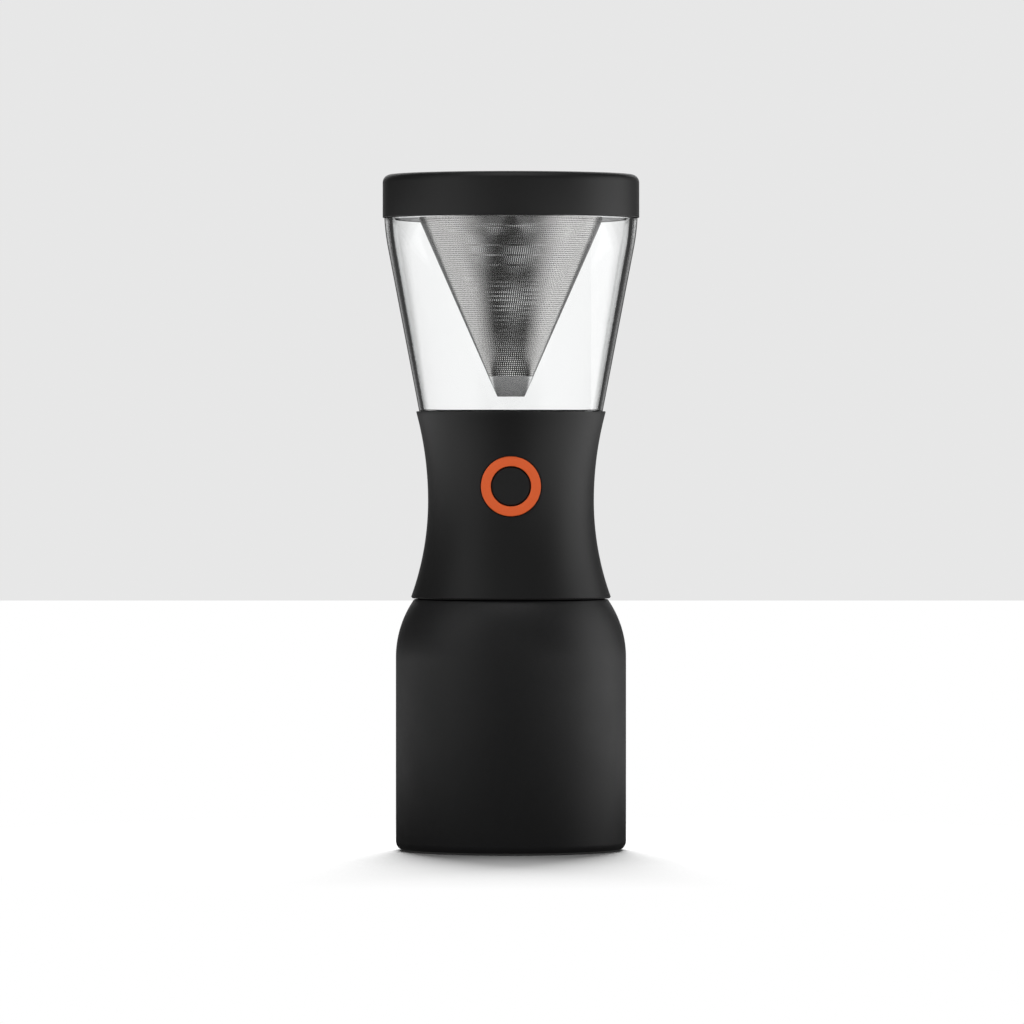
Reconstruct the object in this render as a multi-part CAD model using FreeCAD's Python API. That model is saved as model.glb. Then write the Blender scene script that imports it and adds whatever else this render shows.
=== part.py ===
"""A cold brew coffee maker that stands about 345 mm tall, in three storeys.

At the bottom is a double-walled steel carafe of about one litre. A brewer screws onto its neck:
an hourglass waist holds a clear tapered chamber, and a round push button on the waist opens a valve
in the chamber's floor, so that the coffee runs down a drain into the carafe. A perforated steel cone
hangs in the chamber and a press-on lid closes the top.

Everything is in millimetres. The origin is the centre of the carafe's foot, +Z is up, and the button
faces -Y.
"""
import FreeCAD, Part
import math
import os

Vector = FreeCAD.Vector

# Carafe, outer shell
carafe_radius = 58.7
carafe_side_height = 98.5        # straight side, up to where the shoulder starts
shoulder_arc = 51.5              # radius of the shoulder's curve
ledge_height = 128.0             # flat ledge at the foot of the neck
foot_corner = 4.6                # rounding where the side meets the foot
foot_ring_width = 5.0            # flat ring that the carafe stands on
shell_wall = 0.8
neck_radius = 40.0
neck_rise = 16.0                 # ledge to lip

# Carafe, inner liner and base
vacuum_gap = 3.4                 # between the two straight sides
liner_wall = 0.7
liner_floor_height = 8.0         # underside of the liner's floor
liner_dish_height = 12.0         # pressed bottom, up to its weld
liner_corner = 9.0               # rounding inside the liner's floor
liner_neck_gap = 0.8             # between the two necks
liner_shoulder_drop = 4.5        # liner's shoulder ends this far below the ledge
lip_thickness = 0.7
pan_recess = 2.4                 # underside of the base pan above the table
pan_rim_lift = 0.3               # lower edge of the pan's rim above the table
seal_disc_radius = 8.0
seal_disc_thickness = 0.8

# Screw collar and its gasket
gasket_thickness = 2.0
gasket_overlap = 2.2             # how far the gasket reaches inside the lip's outer edge
thread_gap = 0.35                # collar bore to neck, where the screw thread runs
collar_wall = 2.2
collar_roof = 2.8
flange_thickness = 1.8
ledge_gap = 0.6                  # shadow gap between the waist and the carafe's ledge
flange_lift = 0.5                # collar flange above the waist's lower edge

# Waist cover
waist_height = 95.3              # lower edge to upper edge
waist_neck_rise = 49.7           # lower edge to the narrowest place
waist_bottom_radius = 50.9
waist_neck_radius = 42.3
waist_top_radius = 48.2
waist_wall = 2.4
waist_edge = 0.8                 # chamfer on both rims
waist_step = 1.2                 # rebate that the collar's flange seats in
waist_lip_depth = 2.3            # upper lip that hides the chamber's foot

# Clear chamber
chamber_foot_radius = 46.8       # outside, at the waist's upper edge
chamber_bend_height = 83.1       # waist's upper edge to where the taper bends upright
chamber_top_radius = 64.5
chamber_bend_gain = 1.83         # growth of the radius from the bend to the step
chamber_height = 98.2            # waist's upper edge to the step under the lid
chamber_lip_gap = 0.15
foot_wall = 2.25
rim_wall = 2.2
rim_setback = 2.2                # step from the chamber's outside in to its rim
rim_rise = 13.9                  # step to rim
spigot_radius = 40.8
spigot_wall = 2.5
spigot_drop = 14.6               # ledge in the waist to the spigot's end
spigot_slope_drop = 5.6
floor_slope_drop = 4.5
shelf_gap = 0.6                  # chamber's shelf inside the waist's wall
taper_loss = 0.014               # the wall thickens upwards by this much per millimetre
inner_bend = 60.0                # radius where the inner taper meets the rim's bore
foot_round = 3.0
spigot_round = 2.0

# Chamber floor, its O-ring and the valve seat
floor_gap = 0.2                  # floor plug in the spigot
floor_flange = 3.0
floor_plug_rise = 5.4
seat_land = 1.6                  # flat ring round the seat, under the plug's brim
floor_skin = 3.2
floor_lip = 2.0                  # flat ring round the dished floor
floor_skirt = 2.5
boss_root = 0.5                  # how far a boss runs into the floor's skin
throat_radius = 8.0
seat_rise = 5.0                  # underside of the floor to the seat's upper edge
seat_chamfer = 1.7
oring_radius = 0.8               # of the O-ring's section
oring_squeeze = 0.2

# Drain tube, its two flanges and the plunger's gland
drain_bore = 11.2
drain_wall = 2.4
tube_flange_radius = 34.0
upper_flange = 3.0
lower_flange = 2.5
hub_wall = 1.6                   # short hub on each flange, round the tube
hub_rise = 3.0
spout_length = 11.0              # spout below the lower flange
gland_wall = 1.6                 # outside the seal's groove
gland_reach = 3.9                # from the tube's outside

# Push button on the waist
button_height = 57.3             # axis above the waist's lower edge
button_radius = 9.7
button_travel = 4.0
button_recess = 0.6              # face behind the ring's face
button_face = 2.0
button_skirt_length = 7.3
button_skirt_wall = 1.3
button_edge = 0.8
ring_outer_radius = 15.15
ring_inner_radius = 10.2
ring_proud = 0.6                 # ring's face in front of the waist
ring_depth = 4.4
ring_edge = 0.6
ring_groove = 0.45               # dark gap round the ring
guide_pad_radius = 17.5
guide_sleeve_wall = 2.6
guide_gap = 0.3
guide_length = 15.5              # behind the ring
guide_back = 2.0
rod_radius = 4.0
rod_gap = 0.3
rod_boss_wall = 1.2
rod_boss_length = 2.6
piston_radius = 7.3              # wide enough for the fork to pass through the piston's bore
piston_gap = 0.3
piston_stop_gap = 0.3            # piston's shoulder behind the guide, which keeps the button in
seal_fit = 0.05                  # running fit of the piston in its seal

# Ramp fork and valve stem
valve_lift = 3.0
fork_half_width = 6.0
fork_slot = 3.0                  # half the slot that the stem stands in
fork_reach = 4.2                 # tip beyond the stem's axis, button out
fork_back = 9.0
fork_root = 2.0                  # solid bridge between rod and tines
fork_depth = 4.0                 # axis to the fork's underside
fork_crest = 0.4                 # flat on top of the ramps beyond the button's travel
pin_radius = 1.25
pin_half_length = 6.3
pin_gap = 0.2                    # pin to ramp
stem_radius = 2.2
stem_tail = 2.5                  # below the pin
stem_gap = 0.15                  # running fit in the guide
stem_shoulder_radius = 5.0
stem_shoulder = 1.0
washer_radius = 4.9
washer_thickness = 0.8
guide_hub_radius = 4.0
guide_hub_length = 5.0
guide_ring_wall = 1.9
guide_ring_height = 2.0
guide_ring_ledge = 1.1
guide_spokes = 3
guide_spoke_width = 1.8
plug_rim = 1.0                   # plug's brim past the seat
plug_brim = 2.0
plug_gap = 0.3
plug_nose_drop = 0.2             # nose of the plug, into the seat's chamfer
plug_side_gap = 0.2              # nose to throat
plug_cone_gap = 0.3              # cone to the seat's chamfer, sideways
plug_edge = 0.8
nut_radius = 4.6
nut_height = 1.6

# Springs
button_spring_wire = 0.45        # radius of the wire
button_spring_radius = 6.6
button_spring_turns = 4
valve_spring_wire = 0.35
valve_spring_radius = 3.4
valve_spring_turns = 5

# Screws, four through each of the tube's flanges
screw_count = 4
screw_radius = 1.5
screw_head_radius = 2.8
screw_head = 1.8
screw_bite = 4.0                 # how far a screw goes into its boss
boss_wall = 1.8
boss_end = 1.0
screw_angle = 45.0               # first screw, from +X
upper_screw_circle = 26.0
lower_screw_circle = 24.0
screw_hole_gap = 0.2

# Filter
filter_wall = 0.6
filter_fit = 0.6                 # filter collar inside the chamber's rim
filter_drop = 13.9               # rim to the shelf round the cone
rim_overlap = 0.2                # filter's flange inside the rim's outer edge
cone_top_radius = 46.8
cone_height = 90.8
cone_tip_radius = 6.9
cone_wall = 0.45
tip_height = 10.4
tip_wall = 0.8
tip_floor = 1.0
tip_edge = 0.5
sheet_bend = 1.2

# Lid
lid_fit = 0.6                    # lid's skirt outside the chamber's rim
lid_height = 22.1
lid_top = 2.6
lid_skirt = 2.5
lid_corner = 4.1
lid_rim_edge = 0.5
lid_inner_round = 1.0
lid_gap = 0.3                    # skirt to the step below it
liner_disc = 2.0
stopper_wall = 1.8
stopper_depth = 12.0
stopper_gap = 1.6                # stopper wall inside the filter's collar
lid_liner_fit = 0.2
liner_chamfer = 1.0
stop_ring_step = 0.4             # stop ring inside the disc's edge
seal_height = 3.0
seal_gap = 0.3
seal_groove = 0.7
seal_lift = 3.0                  # above the stopper's end
seal_lip_root = 0.3
seal_lip_half = 0.6
seal_lip_edge = 0.2
stop_gap = 0.3

# Modelling
past = 1.0                       # how far a cutting tool reaches past a face
tiny = 1e-6                      # shorter than this, an edge is none

# Heights that follow, from the table up
lip_height = ledge_height + neck_rise
gasket_top = lip_height + gasket_thickness
roof_top = gasket_top + collar_roof
waist_bottom = ledge_height + ledge_gap
waist_neck = waist_bottom + waist_neck_rise
waist_top = waist_bottom + waist_height
chamber_ledge = waist_top - waist_lip_depth
spigot_end = chamber_ledge - spigot_drop
floor_under = spigot_end - floor_flange
seat_top = floor_under + seat_rise
button_axis = waist_bottom + button_height
chamber_step = waist_top + chamber_height
chamber_rim = chamber_step + rim_rise
shelf_under = chamber_rim - filter_drop
tip_end = shelf_under - cone_height
tip_top = tip_end + tip_height
lid_bottom = chamber_step + lid_gap
lid_height_top = lid_bottom + lid_height

# Radii and depths that follow
chamber_bend_radius = chamber_top_radius - chamber_bend_gain
chamber_slope = (chamber_bend_radius - chamber_foot_radius) / chamber_bend_height
collar_bore = neck_radius + thread_gap
collar_radius = collar_bore + collar_wall
drain_radius = drain_bore + drain_wall
ring_face = -(waist_neck_radius + ring_proud)
ring_back = ring_face + ring_depth
button_front = ring_face + button_recess
cap_inside = button_front + button_face
guide_bore = button_radius + guide_gap
guide_floor = ring_back + guide_length - guide_back
guide_end = ring_back + guide_length
spigot_bore = spigot_radius - spigot_wall
rim_radius = chamber_top_radius - rim_setback
rim_bore = rim_radius - rim_wall
lid_radius = rim_radius + lid_fit + lid_skirt
collar_sheet_radius = rim_bore - filter_fit
ramp_angle = math.atan2(valve_lift, button_travel)
pin_height = button_axis + (pin_radius + pin_gap) / math.cos(ramp_angle)
stem_end = pin_height - stem_tail
washer_under = pin_height + pin_radius
hub_under = floor_under + (guide_hub_length - guide_ring_height) / 2 - guide_hub_length
plug_under = seat_top + plug_gap
plug_nose = seat_top - seat_chamfer + plug_gap - plug_nose_drop
upper_flange_under = floor_under - upper_flange


class Via(tuple):
    """A point that the edge between two corners bends through."""


def middle_of_tangent_arc(start, direction, end):
    """The halfway point of the arc that leaves start along direction and reaches end."""
    length = math.hypot(*direction)
    normal = (-direction[1] / length, direction[0] / length)
    reach = (end[0] - start[0], end[1] - start[1])
    radius = (reach[0] ** 2 + reach[1] ** 2) / (2 * (reach[0] * normal[0] + reach[1] * normal[1]))
    centre = (start[0] + radius * normal[0], start[1] + radius * normal[1])
    half = (start[0] + end[0] - 2 * centre[0], start[1] + end[1] - 2 * centre[1])
    scale = abs(radius) / math.hypot(*half)
    return Via((centre[0] + half[0] * scale, centre[1] + half[1] * scale))


def section_point(corner):
    return Vector(corner[0], 0, corner[1])


def trimmed(corner, neighbour, radius, other):
    """Where the rounding of a corner starts on the edge towards its neighbour."""
    here, there, beyond = section_point(corner), section_point(neighbour), section_point(other)
    turn = math.pi - (there - here).getAngle(beyond - here)
    return here + (there - here).normalize() * (radius * math.tan(turn / 2))


def section(*outline):
    """A closed face in the XZ plane. A third number rounds a corner between two straight edges."""
    corners = [(item, None) for item in outline if not isinstance(item, Via)]
    bends, place = {}, -1
    for item in outline:
        if isinstance(item, Via):
            bends[place] = item
        else:
            place += 1
    count, starts, ends, edges = len(corners), {}, {}, []
    for i in range(count):
        corner = corners[i][0]
        before, after = corners[i - 1][0], corners[(i + 1) % count][0]
        radius = corner[2] if len(corner) > 2 else 0
        if radius:
            ends[i] = trimmed(corner, before, radius, after)
            starts[i] = trimmed(corner, after, radius, before)
            inward = (ends[i] + starts[i]) * 0.5 - section_point(corner)
            along = (starts[i] - ends[i]).Length / 2
            centre_distance = math.hypot(radius, (ends[i] - section_point(corner)).Length)
            crown = section_point(corner) + inward.normalize() * (centre_distance - radius)
            if along > tiny:
                edges.append(Part.Arc(ends[i], crown, starts[i]).toShape())
        else:
            ends[i] = starts[i] = section_point(corner)
    for i in range(count):
        start, end = starts[i], ends[(i + 1) % count]
        if i in bends:
            edges.append(Part.Arc(start, section_point(bends[i]), end).toShape())
        elif (end - start).Length > tiny:
            edges.append(Part.LineSegment(start, end).toShape())
    return Part.Face(Part.Wire(Part.__sortEdges__(edges)))


def turned(*outline):
    """The solid that the outline sweeps about Z. Corners are (radius, height)."""
    solid = section(*outline).revolve(Vector(0, 0, 0), Vector(0, 0, 1), 360)
    if solid.Volume < 0:
        solid.reverse()
    return solid


def post(radius, low, high, x=0.0, y=0.0):
    """An upright cylinder between two heights."""
    return Part.makeCylinder(radius, high - low, Vector(x, y, low), Vector(0, 0, 1))


def bar(radius, front, back, height):
    """A cylinder along Y between two depths, on the button's axis or another height."""
    return Part.makeCylinder(radius, back - front, Vector(0, front, height), Vector(0, 1, 0))


def ring_on_axis(outer, inner, front, back, height):
    """A tube along Y."""
    return bar(outer, front, back, height).cut(bar(inner, front - past, back + past, height))


def on_circle(circle, count, offset=screw_angle):
    """Evenly spaced places on a circle about Z."""
    for i in range(count):
        angle = math.radians(offset + 360.0 * i / count)
        yield circle * math.cos(angle), circle * math.sin(angle)


def coil(wire, radius, turns, length):
    """A compression spring along Z from height 0, as quarter turns that climb evenly."""
    quarters = turns * 4
    climb = (length - 2 * wire) / quarters

    def place(quarter):
        angle = quarter * math.pi / 2
        return Vector(radius * math.cos(angle), radius * math.sin(angle), wire + climb * quarter)

    arcs = [Part.Arc(place(i), place(i + 0.5), place(i + 1)).toShape() for i in range(quarters)]
    start = Part.Circle(place(0), Vector(0, 1, 0), wire).toShape()
    return Part.Wire(arcs).makePipeShell([Part.Wire(start)], True, False)


def waist_radius(height, inset=0.0):
    """Radius of the waist at a height. Both curves are arcs that stand upright at the neck."""
    if height < waist_neck:
        widening, rise = waist_bottom_radius - waist_neck_radius, waist_neck_rise - waist_edge
    else:
        widening, rise = waist_top_radius - waist_neck_radius, waist_top - waist_edge - waist_neck
    arc = (widening ** 2 + rise ** 2) / (2 * widening)
    return waist_neck_radius + arc - math.sqrt((arc + inset) ** 2 - (height - waist_neck) ** 2)


def waist_point(height, inset=0.0):
    return waist_radius(height, inset), height


def chamber_outside(height):
    """Radius of the chamber's straight taper."""
    return chamber_foot_radius + chamber_slope * (height - waist_top)


def shoulder(height, inset=0.0):
    """Point on the carafe's shoulder at a height. The liner's is the same arc, set in."""
    reach = math.sqrt((shoulder_arc - inset) ** 2 - (height - carafe_side_height) ** 2)
    return carafe_radius - shoulder_arc + reach, height


def carafe_shell():
    """Outer skin of the carafe: side, shoulder and ledge, with a turned-in foot."""
    foot_inner = carafe_radius - foot_corner - foot_ring_width
    under_ledge = ledge_height - shell_wall
    middle = (ledge_height + carafe_side_height) / 2
    return turned(
        (foot_inner, 0), (carafe_radius, 0, foot_corner), (carafe_radius, carafe_side_height),
        Via(shoulder(middle)), shoulder(ledge_height), (neck_radius, ledge_height), (neck_radius, under_ledge),
        shoulder(under_ledge, shell_wall), Via(shoulder(middle, shell_wall)),
        (carafe_radius - shell_wall, carafe_side_height),
        (carafe_radius - shell_wall, shell_wall, foot_corner - shell_wall), (foot_inner, shell_wall),
    )


def shell_neck():
    """Neck ring that carries the thread, welded into the ledge."""
    low, high = ledge_height - shell_wall, lip_height - lip_thickness
    inner = neck_radius - shell_wall
    return turned((inner, low), (neck_radius, low), (neck_radius, high), (inner, high))


def liner_radius():
    return carafe_radius - shell_wall - vacuum_gap


def carafe_liner():
    """Inner vessel's side and shoulder, which keep the vacuum gap all the way up."""
    side, gap = liner_radius(), shell_wall + vacuum_gap
    neck = neck_radius - shell_wall - liner_neck_gap
    weld = liner_floor_height + liner_dish_height
    top = ledge_height - liner_shoulder_drop
    middle = (top + carafe_side_height) / 2
    return turned(
        (side, weld), (side, carafe_side_height), Via(shoulder(middle, gap)), shoulder(top, gap),
        (neck, top), (neck, top - liner_wall), shoulder(top - liner_wall, gap + liner_wall),
        Via(shoulder(middle, gap + liner_wall)), (side - liner_wall, carafe_side_height), (side - liner_wall, weld),
    )


def liner_bottom():
    """Pressed bottom of the inner vessel, welded to its side."""
    side, low = liner_radius(), liner_floor_height
    weld = low + liner_dish_height
    return turned(
        (0, low), (side, low, liner_corner + liner_wall), (side, weld), (side - liner_wall, weld),
        (side - liner_wall, low + liner_wall, liner_corner), (0, low + liner_wall),
    )


def liner_neck():
    """Neck of the inner vessel. Its lip folds out over the shell's neck and is welded to it."""
    neck = neck_radius - shell_wall - liner_neck_gap
    low, fold = ledge_height - liner_shoulder_drop - liner_wall, lip_height - lip_thickness
    return turned(
        (neck - liner_wall, low), (neck, low), (neck, fold), (neck_radius, fold), (neck_radius, lip_height),
        (neck - liner_wall, lip_height),
    )


def base_pan():
    """Recessed bottom, pressed into the shell's foot ring and welded there."""
    radius = carafe_radius - foot_corner - foot_ring_width
    top = pan_recess + shell_wall
    return turned(
        (0, pan_recess), (radius - shell_wall, pan_recess), (radius - shell_wall, pan_rim_lift),
        (radius, pan_rim_lift), (radius, top), (0, top),
    )


def vacuum_seal():
    """Round disc over the evacuation hole, in the middle of the pan."""
    return post(seal_disc_radius, pan_recess - seal_disc_thickness, pan_recess)


def neck_gasket():
    """Flat silicone ring between the carafe's lip and the collar's roof."""
    return turned(
        (neck_radius - gasket_overlap, lip_height), (neck_radius, lip_height),
        (neck_radius, gasket_top), (neck_radius - gasket_overlap, gasket_top),
    )


def flange_radius():
    """Radius of the collar's flange, which seats in the rebate at the foot of the waist."""
    return waist_radius(flange_top(), waist_wall) + waist_step


def flange_top():
    return waist_bottom + flange_lift + flange_thickness


def screw_collar():
    """Threaded ring on the neck. Its flange seats in the foot of the waist."""
    under = waist_bottom + flange_lift
    return turned(
        (collar_bore, under), (flange_radius(), under), (flange_radius(), flange_top()),
        (collar_radius, flange_top()), (collar_radius, gasket_top), (collar_bore, gasket_top),
    )


def collar_plate():
    """Ring welded on the collar. It presses on the gasket, and its four bosses take the lower screws."""
    spout_hole = drain_radius + screw_hole_gap
    plate = turned(
        (spout_hole, gasket_top), (collar_radius, gasket_top), (collar_radius, roof_top), (spout_hole, roof_top),
    )
    for x, y in on_circle(lower_screw_circle, screw_count):
        plate = plate.fuse(post(screw_radius + boss_wall, roof_top - screw_bite - boss_end, gasket_top, x, y))
    for x, y in on_circle(lower_screw_circle, screw_count):
        plate = plate.cut(post(screw_radius, roof_top - screw_bite, roof_top + past, x, y))
    return plate.removeSplitter()


def waist_cover():
    """Hourglass cover with a lip at the top, a rebate at the foot and the button's round opening."""
    lip_bore = chamber_foot_radius + chamber_lip_gap
    ledge = (waist_radius(chamber_ledge, waist_wall), chamber_ledge)
    foot = flange_top()
    cover = turned(
        (waist_bottom_radius - waist_edge, waist_bottom), waist_point(waist_bottom + waist_edge),
        Via(waist_point((waist_bottom + waist_neck) / 2)), waist_point(waist_neck),
        Via(waist_point((waist_top + waist_neck) / 2)), waist_point(waist_top - waist_edge),
        (waist_top_radius - waist_edge / 2, waist_top), (lip_bore, waist_top), (lip_bore, chamber_ledge),
        ledge, Via(waist_point((chamber_ledge + waist_neck) / 2, waist_wall)),
        waist_point(waist_neck, waist_wall), Via(waist_point((foot + waist_neck) / 2, waist_wall)),
        waist_point(foot, waist_wall), (flange_radius(), foot), (flange_radius(), waist_bottom),
    )
    opening = bar(ring_outer_radius + ring_groove, -waist_top_radius, ring_back + ring_depth, button_axis)
    return cover.cut(opening)


def brew_chamber():
    """Clear tapered vessel, open at both ends, with a rim for the lid and a spigot for the floor."""
    bend = waist_top + chamber_bend_height
    taper = (chamber_slope, 1.0)
    bend_point, step_point = (chamber_outside(bend), bend), (chamber_top_radius, chamber_step)
    foot_bore = chamber_foot_radius - foot_wall
    inner_slope = chamber_slope - taper_loss
    rim_corner = waist_top + (rim_bore - foot_bore) / inner_slope
    shelf = waist_radius(chamber_ledge, waist_wall) - shelf_gap
    return turned(
        (spigot_bore, spigot_end), (spigot_radius, spigot_end),
        (spigot_radius, chamber_ledge - spigot_slope_drop, spigot_round), (shelf, chamber_ledge),
        (chamber_outside(chamber_ledge), chamber_ledge), bend_point,
        middle_of_tangent_arc(bend_point, taper, step_point), step_point, (rim_radius, chamber_step),
        (rim_radius, chamber_rim), (rim_bore, chamber_rim), (rim_bore, rim_corner, inner_bend),
        (foot_bore, waist_top, foot_round), (spigot_bore, chamber_ledge - floor_slope_drop, foot_round),
    )


def floor_groove_height():
    return spigot_end + floor_plug_rise / 2


def chamber_floor():
    """Dished floor that plugs the spigot. Its throat is the valve seat, and bosses take the screws."""
    plug = spigot_bore - floor_gap
    top = spigot_end + floor_plug_rise
    dish_edge = plug - floor_lip
    under_skin = seat_top - floor_skin
    skirt = dish_edge - floor_skirt
    floor = turned(
        (throat_radius, floor_under), (drain_radius, floor_under),
        (drain_radius, under_skin), (skirt, under_skin), (skirt, floor_under),
        (spigot_radius, floor_under), (spigot_radius, spigot_end), (plug, spigot_end), (plug, top),
        (dish_edge, top), (throat_radius + seat_chamfer + seat_land, seat_top),
        (throat_radius + seat_chamfer, seat_top), (throat_radius, seat_top - seat_chamfer),
    )
    groove_depth = 2 * oring_radius - floor_gap
    half_groove = oring_radius + oring_squeeze
    middle = floor_groove_height()
    groove = turned(
        (plug - groove_depth, middle - half_groove), (plug + past, middle - half_groove),
        (plug + past, middle + half_groove), (plug - groove_depth, middle + half_groove),
    )
    floor = floor.cut(groove)
    for x, y in on_circle(upper_screw_circle, screw_count):
        floor = floor.fuse(post(screw_radius + boss_wall, floor_under, under_skin + boss_root, x, y))
    for x, y in on_circle(upper_screw_circle, screw_count):
        floor = floor.cut(post(screw_radius, floor_under - past, floor_under + screw_bite, x, y))
    return floor.removeSplitter()


def floor_oring():
    """O-ring in the floor's groove, touching the spigot's bore."""
    return Part.makeTorus(spigot_bore - oring_radius, oring_radius, Vector(0, 0, floor_groove_height()))


def drain_tube():
    """Tube from the valve down into the carafe's neck. A hole in its side lets the piston through."""
    low = roof_top - spout_length
    tube = turned(
        (drain_bore, low), (drain_radius, low), (drain_radius, upper_flange_under), (drain_bore, upper_flange_under),
    )
    return tube.cut(bar(piston_radius + piston_gap, -(drain_radius + past), 0, button_axis))


def tube_foot_flange():
    """Ring round the tube, with a hub, that is screwed down on the collar's plate."""
    top = roof_top + lower_flange
    flange = turned(
        (drain_radius, roof_top), (tube_flange_radius, roof_top), (tube_flange_radius, top),
        (drain_radius + hub_wall, top), (drain_radius + hub_wall, top + hub_rise), (drain_radius, top + hub_rise),
    )
    for x, y in on_circle(lower_screw_circle, screw_count):
        flange = flange.cut(post(screw_radius + screw_hole_gap, roof_top - past, top + past, x, y))
    return flange.removeSplitter()


def tube_top_flange():
    """Ring on the tube's upper end, with a hub. It holds the stem's guide and is screwed to the floor."""
    under, ledge = upper_flange_under, floor_under - guide_ring_height
    flange = turned(
        (drain_bore, under), (drain_radius, under), (drain_radius, under - hub_rise),
        (drain_radius + hub_wall, under - hub_rise), (drain_radius + hub_wall, under), (tube_flange_radius, under),
        (tube_flange_radius, floor_under), (drain_bore + guide_ring_ledge, floor_under),
        (drain_bore + guide_ring_ledge, ledge), (drain_bore, ledge),
    )
    for x, y in on_circle(upper_screw_circle, screw_count):
        flange = flange.cut(post(screw_radius + screw_hole_gap, under - past, floor_under + past, x, y))
    return flange.removeSplitter()


def plunger_gland():
    """Bushing welded to the tube's side. The piston slides in it, and its groove holds the piston's seal."""
    groove = piston_radius + seal_fit + 2 * oring_radius
    front = -(drain_radius + gland_reach)
    gland = ring_on_axis(groove + gland_wall, piston_radius + piston_gap, front, 0, button_axis)
    gland = gland.cut(bar(groove, seal_depth() - oring_radius, seal_depth() + oring_radius, button_axis))
    return gland.cut(post(drain_radius, roof_top, floor_under)).removeSplitter()


def seal_depth():
    """Depth of the piston's O-ring, in the middle of the gland."""
    return -(drain_radius + gland_reach / 2)


def plunger_seal():
    """O-ring round the plunger's piston."""
    centre = Vector(0, seal_depth(), button_axis)
    return Part.makeTorus(piston_radius + seal_fit + oring_radius, oring_radius, centre, Vector(0, 1, 0))


def stem_guide():
    """Spoked ring between floor and tube. The valve stem slides in its hub."""
    outer = drain_bore + guide_ring_ledge
    low = floor_under - guide_ring_height
    ring = post(outer, low, floor_under).cut(post(outer - guide_ring_wall, low - past, floor_under + past))
    for i in range(guide_spokes):
        spoke = Part.makeBox(
            outer - guide_ring_wall / 2, guide_spoke_width, guide_ring_height,
            Vector(0, -guide_spoke_width / 2, low),
        )
        ring = ring.fuse(spoke.rotate(Vector(0, 0, 0), Vector(0, 0, 1), 90 + 360.0 * i / guide_spokes))
    ring = ring.fuse(post(guide_hub_radius, hub_under, hub_under + guide_hub_length))
    bore = post(stem_radius + stem_gap, hub_under - past, hub_under + guide_hub_length + past)
    return ring.cut(bore).removeSplitter()


def button_ring():
    """Flat ring that frames the button and stands a little proud of the waist."""
    ring = ring_on_axis(ring_outer_radius, ring_inner_radius, ring_face, ring_back, button_axis)
    front = [edge for edge in ring.Edges if abs(edge.BoundBox.YMax - ring_face) < tiny]
    return ring.makeFillet(ring_edge, front)


def button_guide():
    """Sleeve behind the ring. Its pad follows the inside of the waist."""
    inside = turned(
        (0, flange_top()), waist_point(flange_top(), waist_wall),
        Via(waist_point((flange_top() + waist_neck) / 2, waist_wall)), waist_point(waist_neck, waist_wall),
        Via(waist_point((chamber_ledge + waist_neck) / 2, waist_wall)), waist_point(chamber_ledge, waist_wall),
        (0, chamber_ledge),
    )
    pad = bar(guide_pad_radius, ring_face, ring_back + ring_depth, button_axis).common(inside)
    pad = pad.cut(bar(ring_outer_radius, ring_face - past, ring_back, button_axis))
    sleeve = bar(guide_bore + guide_sleeve_wall, ring_back, guide_end, button_axis)
    guide = pad.fuse(sleeve)
    guide = guide.cut(bar(guide_bore, ring_face - past, guide_floor, button_axis))
    return guide.cut(bar(rod_radius + rod_gap, guide_floor - past, guide_end + past, button_axis)).removeSplitter()


def button_cap():
    """Cup-shaped button. A boss inside takes the rod, and the spring pushes on its back."""
    skirt_end = cap_inside + button_skirt_length
    cap = bar(button_radius, button_front, skirt_end, button_axis)
    rim = [e for e in cap.Edges if abs(e.BoundBox.YMax - button_front) < tiny]
    cap = cap.makeFillet(button_edge, rim)
    hollow = bar(button_radius - button_skirt_wall, cap_inside, skirt_end + past, button_axis)
    cap = cap.cut(hollow)
    rod_boss_end = cap_inside + rod_boss_length
    boss = ring_on_axis(rod_radius + rod_boss_wall, rod_radius, cap_inside, rod_boss_end, button_axis)
    return cap.fuse(boss).removeSplitter()


def button_plunger():
    """Rod, piston and a fork whose two ramps lift the valve's cross pin as the button goes in."""
    piston_front = guide_end + piston_stop_gap
    rod = bar(rod_radius, cap_inside, piston_front, button_axis)
    piston = bar(piston_radius, piston_front, -fork_back, button_axis)
    low = button_axis - fork_depth
    slope = valve_lift / button_travel
    crest = -button_travel - fork_crest
    side = Part.makePolygon([
        Vector(0, -fork_back, low), Vector(0, fork_reach, low),
        Vector(0, fork_reach, button_axis - slope * fork_reach),
        Vector(0, crest, button_axis - slope * crest), Vector(0, -fork_back, button_axis - slope * crest),
        Vector(0, -fork_back, low),
    ])
    fork = Part.Face(side).extrude(Vector(2 * fork_half_width, 0, 0))
    fork.translate(Vector(-fork_half_width, 0, 0))
    slot = Part.makeBox(
        2 * fork_slot, fork_back + fork_reach, 2 * piston_radius,
        Vector(-fork_slot, fork_root - fork_back, button_axis - piston_radius),
    )
    return rod.fuse(piston).fuse(fork.cut(slot)).removeSplitter()


def button_spring():
    """Spring between the guide's back wall and the button."""
    spring = coil(button_spring_wire, button_spring_radius, button_spring_turns, guide_floor - cap_inside)
    spring.rotate(Vector(0, 0, 0), Vector(1, 0, 0), 90)
    spring.translate(Vector(0, guide_floor, button_axis))
    return spring


def valve_stem():
    """Stem with a shoulder under the plug and a cross hole for the pin."""
    stem = post(stem_radius, stem_end, plug_top() + nut_height)
    stem = stem.fuse(post(stem_shoulder_radius, plug_nose - stem_shoulder, plug_nose))
    return stem.cut(cross_pin()).removeSplitter()


def plug_top():
    return plug_under + plug_brim


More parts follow.
